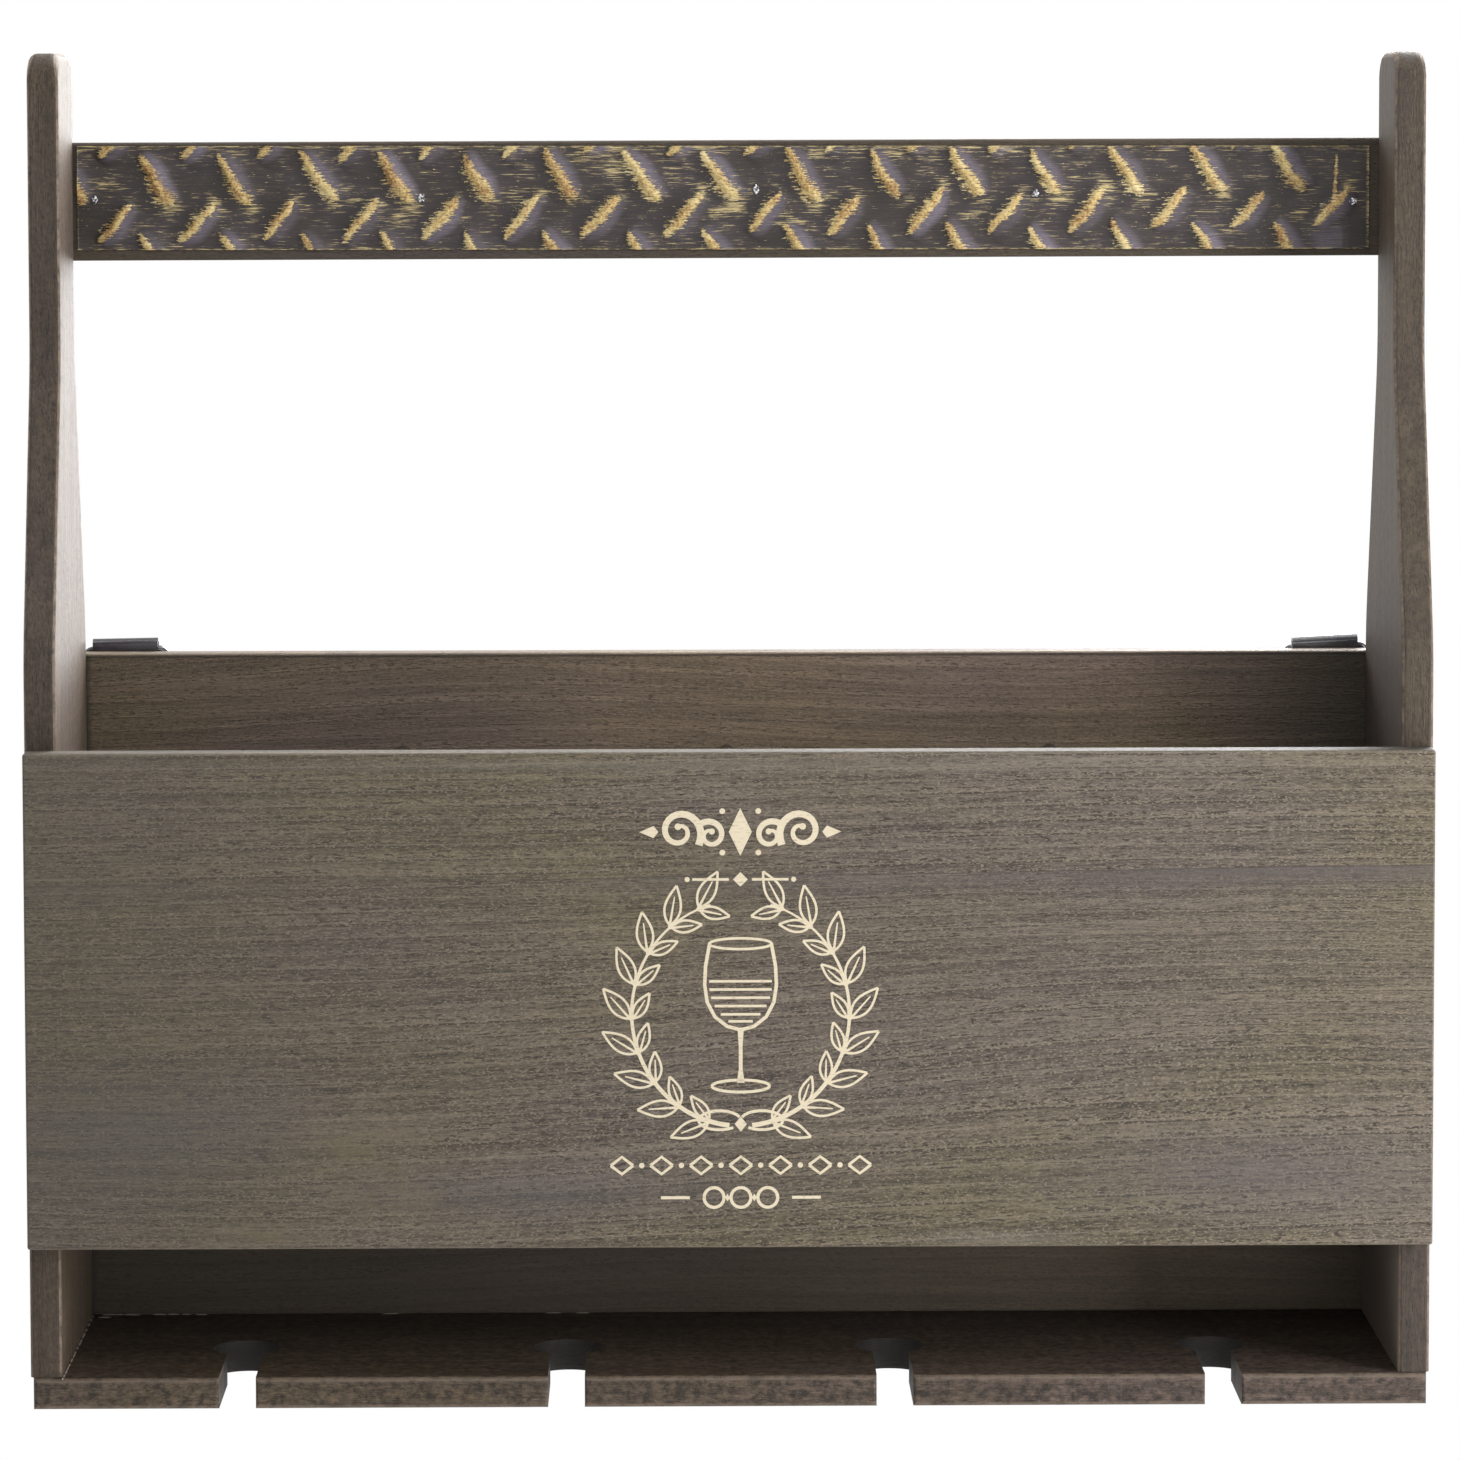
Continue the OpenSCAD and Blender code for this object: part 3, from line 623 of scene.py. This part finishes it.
# bold scrolls on either side of a diamond
diamond(0, 183.5, 3.6, 7.5)
outer, inner = spiral(19.0, 183.6, 215, -500, 7.4, 1.6), spiral(9.3, 182.4, 40, 430, 5.0, 1.3)
for points, wide, tip in ((outer, 2.4, 1.1), (inner, 2.0, 1.0)):
    stroke(points, [wide + (tip - wide) * i / 30 for i in range(31)], both=True)
    disc(*points[-1], tip * 0.95, both=True)
fill([(25.5, 183.5), (27.0, 185.4), (31.5, 183.5), (27.0, 181.6)], both=True)
disc(5.6, 190.0, 0.9, both=True)
disc(5.6, 177.0, 0.9, both=True)

# a thin rule with a small diamond
diamond(0, 168.6, 2.3, 2.3)
stroke([(3.6, 168.6), (15.0, 168.6)], 0.8, both=True)
disc(16.6, 168.6, 0.8, both=True)

# two branches of long leaves, tied below, round a stemmed glass
for branch in range(9):
    stem = math.radians(-74 + branch * 17.6)
    foot = Vector((34.0 * math.cos(stem), 126.5 + 35.5 * math.sin(stem)))
    ahead = Vector((-34.0 * math.sin(stem), 35.5 * math.cos(stem))).normalized()
    for turn, reach in ((-38, 12.6), (36, 9.4)):
        way = Matrix.Rotation(math.radians(turn), 2) @ ahead
        aside = Vector((-way.y, way.x))
        for bulge in (0.2, -0.2):
            leaf = []
            for t in (i / 12 for i in range(13)):
                belly = aside * reach * bulge * math.sin(math.pi * t ** 0.8)
                leaf.append(tuple(foot + way * (0.9 + reach * t) + belly))
            stroke(leaf, 0.75, both=True)
        vein = foot + way * (0.9 + reach * 0.72)
        stroke([tuple(foot), tuple(vein)], [0.9, 0.4], both=True)
stroke(arc(0, 126.5, 34.0, 35.5, -84, 74, 40), [1.5 - 0.9 * i / 40 for i in range(41)], both=True)
stroke(arc(6.6, 92.8, 6.6, 3.0, 160, -130, 18), 0.9, both=True)
diamond(0, 91.6, 1.9, 2.4)

# the glass: bowl, a hatched fill, stem and foot
bowl = [(0.8, 121.5), (4.2, 122.4), (8.0, 125.4), (10.4, 130.0), (11.2, 135.5), (10.9, 141.5),
        (9.6, 148.5)]
stroke(bowl, 1.1, both=True)
stroke(arc(0, 148.4, 9.7, 1.7, 0, 180), 0.8)
stroke(arc(0, 148.4, 9.7, 1.7, 180, 360), 0.8)
for z, reach in ((136.6, 10.2), (134.0, 10.1), (131.4, 9.6), (128.8, 8.5), (126.2, 6.6), (124.0, 4.2)):
    stroke([(-reach + 0.4, z), (reach - 0.4, z)], 0.8)
stroke([(0, 122.0), (0, 116.0), (0, 109.0), (0, 104.6)], [2.0, 1.2, 1.2, 2.4])
stroke(arc(0, 103.6, 9.0, 1.9, 0, 180), 0.9)
stroke(arc(0, 103.6, 9.0, 1.9, 180, 360), 0.9)

# a chain of small diamonds, and a short rule with three rings
for link in range(7):
    x = -37.2 + link * 12.4
    stroke([(x - 3.5, 78.6), (x, 81.3), (x + 3.5, 78.6)], 0.95)
    stroke([(x - 3.5, 78.6), (x, 75.9), (x + 3.5, 78.6)], 0.95)
    if link < 6:
        disc(x + 6.2, 78.6, 0.85)
stroke([(16.0, 68.4), (25.0, 68.4)], 0.95, both=True)
for x in (-8.4, 0.0, 8.4):
    stroke(arc(x, 68.4, 3.1, 3.1, 0, 181), 1.0)
    stroke(arc(x, 68.4, 3.1, 3.1, 180, 361), 1.0)
diamond(4.2, 68.4, 0.8, 1.2, both=True)
push(shape, bmesh.ops.extrude_face_region(shape, geom=shape.faces[:]), (0, INK, 0))
bmesh.ops.recalc_face_normals(shape, faces=shape.faces)
piece("ornament_print", shape, cream_print(), "front_wood")


# Handle bar: a flat board across the backs of the necks, stained darker than the sides. Two
# screws at each end, driven in from behind, hold it.

bar_wood = stained_wood("bar_wood", "X", (0.062, 0.05, 0.041), shift=(0.5, 0.9, 0.77), contrast=0.6,
                        pores=0.4, wear=0.2)
finish_node("handle_bar", bar_wood)


# Embossed strip: a thin sheet pressed into a herringbone of ridges, coloured dark bronze and
# then rubbed back, so that the crests and the edges shine. Five small nails hold it to the bar.

def float_attribute(mesh, name, values):
    mesh.attributes.new(name, "FLOAT", "POINT").data.foreach_set("value", values.astype(np.float32))


low, high = (Vector(c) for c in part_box("embossed_strip"))
SHEET, RIDGE = 0.8 * MM, 1.2 * MM
length, height = high.x - low.x, high.z - low.z
face_y = low.y + RIDGE
shape = bmesh.new()
bmesh.ops.create_grid(shape, x_segments=820, y_segments=66, size=0.5)
bmesh.ops.scale(shape, verts=shape.verts, vec=(length, height, 1))
bmesh.ops.rotate(shape, verts=shape.verts, matrix=Matrix.Rotation(math.radians(90), 3, "X"))
bmesh.ops.translate(shape, verts=shape.verts, vec=((low.x + high.x) / 2, face_y, (low.z + high.z) / 2))
rim = bmesh.ops.extrude_edge_only(shape, edges=[e for e in shape.edges if e.is_boundary])
push(shape, rim, (0, SHEET, 0))
bmesh.ops.contextual_create(shape, geom=[e for e in shape.edges if e.is_boundary])
bmesh.ops.recalc_face_normals(shape, faces=shape.faces)


def bronze_sheet():
    """Dark bronze, rubbed back to gold on the crests, the edges and in fine level scratches, with
    painted shade beside each ridge and a painted sheen on its far slope.
    """
    material, tree, shader = new_material("bronze_sheet", 0.4, metallic=0.3, specular=0.5)
    place = object_place(tree)
    crest, ridge_shade, sheen, scuff, rim = (
        node(tree, "ShaderNodeAttribute", attribute_name=name).outputs["Fac"]
        for name in ("crest", "ridge_shade", "sheen", "scuff", "rim"))
    patches = noise(tree, place, (50.0, 60.0, 90.0), 2.0, 0.6)
    lines = noise(tree, place, (150.0, 500.0, 3600.0), 3.0, 0.7)
    brush = noise(tree, place, (330.0, 500.0, 2500.0), 3.0, 0.75)
    grain = noise(tree, place, 1300.0, 2.0, 0.6)
    base = mix(tree, ramp(tree, patches, [(0.35, 0.0), (0.65, 1.0)]),
               (0.029, 0.022, 0.018), (0.044, 0.034, 0.036))
    # painted shade beside each ridge and on the bent corner, and a painted sheen on each ridge's far
    # slope
    base = stain(tree, base, (0.015, 0.011, 0.01), ridge_shade, 0.75)
    base = mix(tree, sheen, base, (0.14, 0.117, 0.147))
    base = mix(tree, 1.0, base, ramp(tree, lines, [(0.3, 0.5), (0.7, 1.5)]), "MULTIPLY")
    # thin level scratches, crowded where the ridges' ends meet
    scratch = maths(tree, "MULTIPLY_ADD", scuff, 0.17, maths(tree, "MULTIPLY_ADD", patches, 0.3, lines))
    scratch = maths(tree, "MULTIPLY_ADD", maths(tree, "MAXIMUM", ridge_shade, sheen), -0.09, scratch)
    scratch = ramp(tree, scratch, [(0.77, 0.0), (0.85, 1.0)])
    # each crest's gold is a stroke with ragged ends of brush marks along its sides
    worn = maths(tree, "MULTIPLY_ADD", crest, 0.55, maths(tree, "MULTIPLY_ADD", brush, 3.0, -1.5))
    worn = ramp(tree, worn, [(0.0, 0.0), (0.16, 1.0)])
    edge = times(tree, rim, ramp(tree, brush, [(0.45, 0.0), (0.58, 1.0)]))
    rubbed = maths(tree, "MAXIMUM", maths(tree, "MAXIMUM", worn, edge), times(tree, scratch, 0.9))
    shade = maths(tree, "MULTIPLY_ADD", patches, 0.4, -0.2)
    shade = maths(tree, "MULTIPLY_ADD", grain, 0.55, shade)
    shade = maths(tree, "MULTIPLY_ADD", brush, 0.45, shade)
    gold = ramp(tree, shade, [(0.3, (0.13, 0.06, 0.022)), (0.42, (0.36, 0.2, 0.075)),
                              (0.52, (0.56, 0.42, 0.17)), (0.68, (0.74, 0.63, 0.36))])
    gold = stain(tree, gold, (0.52, 0.42, 0.2), maths(tree, "LESS_THAN", worn, 0.5), 0.85)
    tree.links.new(mix(tree, rubbed, base, gold), shader.inputs["Base Color"])
    rough = maths(tree, "MULTIPLY_ADD", grain, 0.25, 0.3)
    tree.links.new(rough, shader.inputs["Roughness"])
    bump = node(tree, "ShaderNodeBump", {"Strength": 0.35, "Distance": 0.00015,
                                         "Height": maths(tree, "ADD", brush, rubbed)})
    tree.links.new(bump.outputs[0], shader.inputs["Normal"])
    return material


strip = piece("pressed_strip", shape, bronze_sheet(), "bronzed_sheet", "embossed_strip")
mesh = strip.data
count = len(mesh.vertices)
points = np.empty(count * 3)
mesh.vertices.foreach_get("co", points)
points = points.reshape(-1, 3)
px, pz = (points[:, 0] - low.x) / MM, (points[:, 2] - low.z) / MM
on_face = points[:, 1] < face_y + 0.1 * MM
swell, ridge_shade, sheen, scuff = (np.zeros(count) for _ in range(4))
crest = np.full(count, -1.0)
draw = random.Random(7)
WIDE, TALL, PITCH, TILT = length / MM, height / MM, 26.1, math.radians(0.65)
# rows of ridges: height of the row, place of its first ridge, lean, half length
ROWS = ((0.335 * TALL, 0.48 * PITCH, 49, 9.6), (0.732 * TALL, -0.06 * PITCH, -58, 10.2),
        (0.335 * TALL + 26, 0.48 * PITCH, 49, 9.6), (0.732 * TALL - 26, -0.06 * PITCH, -58, 10.2))
for row_z, first, lean, half in ROWS:
    for k in range(math.ceil((WIDE - PITCH / 8 - first) / PITCH)):
        dx = first + k * PITCH - WIDE / 2
        cx = WIDE / 2 + dx * math.cos(TILT) - row_z * math.sin(TILT) + draw.uniform(-0.7, 0.7)
        cz = dx * math.sin(TILT) + row_z * math.cos(TILT) + draw.uniform(-0.8, 0.8)
        turn = math.radians(lean + draw.uniform(-4, 4)) + TILT
        reach, tall = half * draw.uniform(0.88, 1.1), draw.uniform(0.85, 1.0)
        bow = draw.uniform(0.2, 1.3) if lean < 0 else draw.uniform(-0.7, 0.6)
        broad = draw.uniform(0.85, 1.2)
        along = ((px - cx) * math.cos(turn) + (pz - cz) * math.sin(turn)) / reach
        # side grows to the right of the ridge, where its slope runs out slowly
        side = ((px - cx) * math.sin(turn) - (pz - cz) * math.cos(turn)) * (1 if lean > 0 else -1)
        side = side - bow * (along * along - 0.33) + 0.25 * np.sin(5.0 * along + cx)
        ends = np.clip(1 - along * along, 0, 1)
        slope = np.where(side < 0, 1.4, 4.6)
        swell = np.maximum(swell, tall * ends ** 0.7 * np.exp(-(side / slope) ** 2))
        if lean > 0:
            gold = 1.5 * broad * (1 - 0.3 * along * along)
        else:
            gold = 1.55 * broad * (1 + 0.42 * along)
        gold = np.clip(gold, 0.6, 3.0)
        edge = np.abs(side) / gold
        skirt = np.where(side < 0, 0.55, 0.9) * (1 - edge)
        crest = np.maximum(crest, np.where(edge < 1, 1 - edge ** 2, skirt) - 1.7 * np.abs(along) ** 7)
        # painted shade at the foot of each ridge's steep side
        ridge_shade = np.maximum(ridge_shade, ends ** 0.5 * np.exp(-((side + gold + 2.0) / 2.4) ** 2))
        # painted sheen on the slow slope to the right of each ridge
        run = (side - 0.7 * gold) / (4.0 * (1 - 0.5 * along * along).clip(0.2))
        glow = np.clip(run / 0.2 + 0.4, 0, 1) * np.clip((1.2 - run) / 0.6, 0, 1)
        sheen = np.maximum(sheen, glow * ends ** 0.6 * draw.uniform(0.3, 1.0))
        tip = np.exp(-((along - 0.95) / 0.35) ** 2 - (side / 3.6) ** 2)
        scuff = np.maximum(scuff, tip * draw.uniform(0.3, 1.0))
# patches that the brush caught: here and there, and along the top edge
for _ in range(30):
    cx, cz = draw.uniform(0, WIDE), draw.uniform(0.25, 1.0) * TALL
    patch = np.exp(-((px - cx) / draw.uniform(3, 6)) ** 2 - ((pz - cz) / draw.uniform(2, 5)) ** 2)
    scuff = np.maximum(scuff, patch * draw.uniform(0.3, 0.9))
scuff = np.maximum(scuff, 0.5 * np.exp(-((TALL - pz) / 2.5) ** 2))
# the pressing tool's last mark: a fine crease; at the right, a bent corner painted in as painted shade,
# with a painted sheen beside it
crease = (px - 405.4 - 0.05 * (pz - 17)) / (0.45 + 0.03 * (30 - pz).clip(0))
crest = np.maximum(crest, 0.75 - crease ** 2 - (np.abs(pz - 22) / 10.0) ** 6)
shaded_corner = np.clip((px - 409.5) / 1.0, 0, 1) * np.clip((10.5 - pz) / 2.0, 0, 1)
ridge_shade = np.maximum(ridge_shade, shaded_corner * 0.95)
sheen_beside = np.clip((px - 397) / 4, 0, 1) * np.clip((408.5 - px) / 1.0, 0, 1)
sheen_beside = 0.45 * sheen_beside * np.clip((9.5 - pz) / 3, 0, 1)
sheen = np.maximum(sheen * (1 - shaded_corner), sheen_beside)
points[:, 1] -= np.where(on_face, swell * RIDGE * 0.98, 0)
# the sheet hangs a little lower towards the right, where it is also a little narrower
points[:, 2] -= (0.25 + 0.4 * px / WIDE + (0.15 + 0.25 * px / WIDE) * pz / TALL) * MM
mesh.vertices.foreach_set("co", points.ravel())
# the edges are rubbed bright: most at the right, then above and below, and least at the left
level = np.clip(1 - np.minimum(pz, TALL - pz) / 0.55, 0, 1) * 0.9
right, left = np.clip(1.5 - (WIDE - px) / 0.6, 0, 1), np.clip(1 - px / 0.5, 0, 1) * 0.4
rim_line = np.maximum(np.maximum(level, right), left)
float_attribute(mesh, "rim", np.where(on_face, rim_line, 0.25))
float_attribute(mesh, "crest", np.where(on_face, np.clip(crest, -1, 1), -1))
for name, values in (("ridge_shade", ridge_shade), ("sheen", sheen), ("scuff", scuff)):
    float_attribute(mesh, name, np.where(on_face, values, 0))
smooth(mesh)


def speckled_steel():
    """Blunt nail heads, hammered in over the dark finish: bright where the hammer touched."""
    material, tree, shader = new_material("speckled_steel", 0.3, metallic=0.7, specular=0.6)
    place = object_place(tree)
    bright = noise(tree, place, 1500.0, 2.0, 0.6)
    colour = ramp(tree, bright, [(0.44, (0.03, 0.026, 0.026)), (0.52, (0.3, 0.3, 0.32)),
                                 (0.6, (0.75, 0.75, 0.78))])
    tree.links.new(colour, shader.inputs["Base Color"])
    return material


nail_low, nail_high = (Vector(c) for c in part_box("strip_nails"))
# where the nails are, as shares of the strip's length and height from its middle
NAILS = ((-0.487, -0.03), (-0.234, -0.02), (0.025, 0.06), (0.241, 0.015), (0.488, -0.065))
HEAD, SHANK = 1.25, 0.6 * MM
shape = bmesh.new()
for share_x, share_z in NAILS:
    head = bmesh.ops.create_icosphere(shape, subdivisions=3, radius=1.0)["verts"]
    flat = draw.uniform(0.8, 1.15)
    for vert in head:
        x, y, z = vert.co
        rough = 1 + 0.22 * math.sin(5 * x + share_x * 90) * math.sin(4 * z + share_z * 70)
        thick = max(-0.4, min(0.4, y * 0.7))
        vert.co = Vector((x * HEAD * flat * rough, thick, z * HEAD / flat * rough)) * MM
    shank = bmesh.ops.create_cone(shape, cap_ends=True, segments=12, radius1=SHANK, radius2=SHANK,
                                  depth=nail_high.y - nail_low.y - 0.6 * MM,
                                  matrix=Matrix.Rotation(math.radians(90), 4, "X"))["verts"]
    at = Vector((low.x + (0.5 + share_x) * length, 0, low.z + (0.5 + share_z) * height))
    bmesh.ops.translate(shape, verts=head, vec=at + Vector((0, nail_low.y + 0.4 * MM, 0)))
    middle = (nail_low.y + nail_high.y) / 2 + 0.3 * MM
    bmesh.ops.translate(shape, verts=shank, vec=at + Vector((0, middle, 0)))
nail_steel = speckled_steel()
smooth(piece("strip_nail_heads", shape, nail_steel, "nail_steel", "strip_nails").data)


# Hangers and fasteners: black steel straps, each folded round the straight bar of a D-ring and
# held to the back panel by two screws, so that the ring turns in the fold. The screws of the bar
# and the shelf are black too, and the nails of the back panel are bare steel.

def black_steel():
    """Black lacquer over steel, drawn out in faint level streaks."""
    material, tree, shader = new_material("black_steel", 0.24, metallic=0.0, specular=0.6)
    shader.inputs["Coat Weight"].default_value = 0.3
    shader.inputs["Coat Roughness"].default_value = 0.1
    place = object_place(tree)
    worn = noise(tree, place, (260.0, 900.0, 1500.0), 3.0, 0.65)
    colour = ramp(tree, worn, [(0.38, (0.008, 0.006, 0.01)), (0.68, (0.024, 0.018, 0.029))])
    tree.links.new(colour, shader.inputs["Base Color"])
    tree.links.new(maths(tree, "MULTIPLY_ADD", worn, 0.24, 0.13), shader.inputs["Roughness"])
    bump = node(tree, "ShaderNodeBump", {"Strength": 0.2, "Distance": 0.0001, "Height": worn})
    tree.links.new(bump.outputs[0], shader.inputs["Normal"])
    return material


steel = black_steel()
for name in ("left_hanger_strap", "right_hanger_strap", "left_hanger_ring", "right_hanger_ring",
             "left_hanger_screws", "right_hanger_screws", "bar_screws", "shelf_screws"):
    finish_node(name, steel)
finish_node("back_panel_nails", nail_steel)


# Floor, lamps and camera: a plain pale floor lies well below the rack and turns white far out.
# The strong lamps stand high behind the rack and the weak ones in front of it, mostly at the right.

shape = bmesh.new()
bmesh.ops.create_circle(shape, cap_ends=True, radius=6.0, segments=96)
bmesh.ops.translate(shape, verts=shape.verts, vec=(0, 0, -0.75))
mesh = bpy.data.meshes.new("floor")
shape.to_mesh(mesh)
shape.free()
floor = bpy.data.objects.new("floor", mesh)
bpy.context.collection.objects.link(floor)
material, tree, shader = new_material("pale_floor", 0.9, specular=0.1)
shader.inputs["Base Color"].default_value = (0.7, 0.7, 0.7, 1)
rays = node(tree, "ShaderNodeLightPath").outputs
glow = node(tree, "ShaderNodeEmission", {"Color": (1, 1, 1, 1), "Strength": 1.0})
place = object_place(tree)
flat = node(tree, "ShaderNodeMapping", {"Vector": place, "Scale": (1, 1, 0)}).outputs["Vector"]
far = ramp(tree, times(tree, vectors(tree, "LENGTH", flat), 0.5), [(0.3, 0.0), (0.7, 1.0)])
seen = maths(tree, "MAXIMUM", rays["Is Camera Ray"], rays["Is Glossy Ray"])
blend = node(tree, "ShaderNodeMixShader", {0: times(tree, seen, far), 1: shader.outputs[0],
                                           2: glow.outputs[0]})
tree.links.new(blend.outputs[0], tree.nodes["Material Output"].inputs["Surface"])
floor.data.materials.append(material)

world = bpy.data.worlds.new("surround")
bpy.context.scene.world = world
world.use_nodes = True
tree = world.node_tree
background = tree.nodes["Background"]
rays = node(tree, "ShaderNodeLightPath").outputs
seen = maths(tree, "MAXIMUM", rays["Is Glossy Ray"], rays["Is Transmission Ray"])
seen = maths(tree, "MAXIMUM", rays["Is Camera Ray"], seen)
tree.links.new(ramp(tree, seen, [(0.0, 0.2), (1.0, 1.0)]), background.inputs["Color"])
background.inputs["Strength"].default_value = 1.0


def lamp(name, position, target, width, height, power):
    data = bpy.data.lights.new(name, "AREA")
    data.shape = "RECTANGLE"
    data.size, data.size_y = width, height
    data.energy = power
    made = bpy.data.objects.new(name, data)
    bpy.context.collection.objects.link(made)
    made.location = position
    made.rotation_euler = (Vector(target) - Vector(position)).to_track_quat("-Z", "Y").to_euler()


lamp("key", (0.8, -0.62, 0.2), (0.0, -0.1, 0.15), 0.35, 1.2, 10.5)
lamp("front", (0.15, -1.6, 0.9), (0.05, 0.0, 0.2), 0.6, 0.4, 3.6)
lamp("low_front", (0.45, -1.6, 0.0), (0.1, 0.0, 0.03), 0.5, 0.4, 1.0)
lamp("left_back", (-1.2, 0.9, 0.6), (0.2, 0.0, 0.3), 0.5, 0.5, 8)
lamp("top", (0.1, -0.1, 1.7), (0, -0.06, 0.2), 1.4, 0.9, 14)
lamp("right_back", (0.75, 1.9, 0.95), (-0.2, -0.05, 0.2), 1.0, 1.9, 85)
lamp("high_back", (0.8, 1.1, 1.7), (-0.2, -0.05, 0.2), 0.9, 0.9, 30)

data = bpy.data.cameras.new("camera")
camera = bpy.data.objects.new("camera", data)
bpy.context.collection.objects.link(camera)
# the camera as it was fitted to the photograph: angles in radians, lengths in the photo's pixels
yaw, pitch, roll = 0.0102, 0.0715, 0.00195
eye = (-17.82 * MM, -1880 * MM, 402.6 * MM)
PHOTO, focal, centre_y = 1460, 5704.6, 535.0
fwd = Vector((math.sin(yaw) * math.cos(pitch), math.cos(yaw) * math.cos(pitch), -math.sin(pitch)))
right = Vector((math.cos(yaw), -math.sin(yaw), 0))
down = fwd.cross(right)
axis_x = right * math.cos(roll) + down * math.sin(roll)
axis_y = right * math.sin(roll) - down * math.cos(roll)
camera.matrix_world = Matrix((
    (axis_x.x, axis_y.x, -fwd.x, eye[0]),
    (axis_x.y, axis_y.y, -fwd.y, eye[1]),
    (axis_x.z, axis_y.z, -fwd.z, eye[2]),
    (0, 0, 0, 1)))
data.sensor_width = 36
data.lens = focal * data.sensor_width / PHOTO
data.shift_y = (centre_y - PHOTO / 2) / PHOTO
data.clip_end = 50
bpy.context.scene.camera = camera
bpy.context.scene.view_settings.view_transform = "Standard"
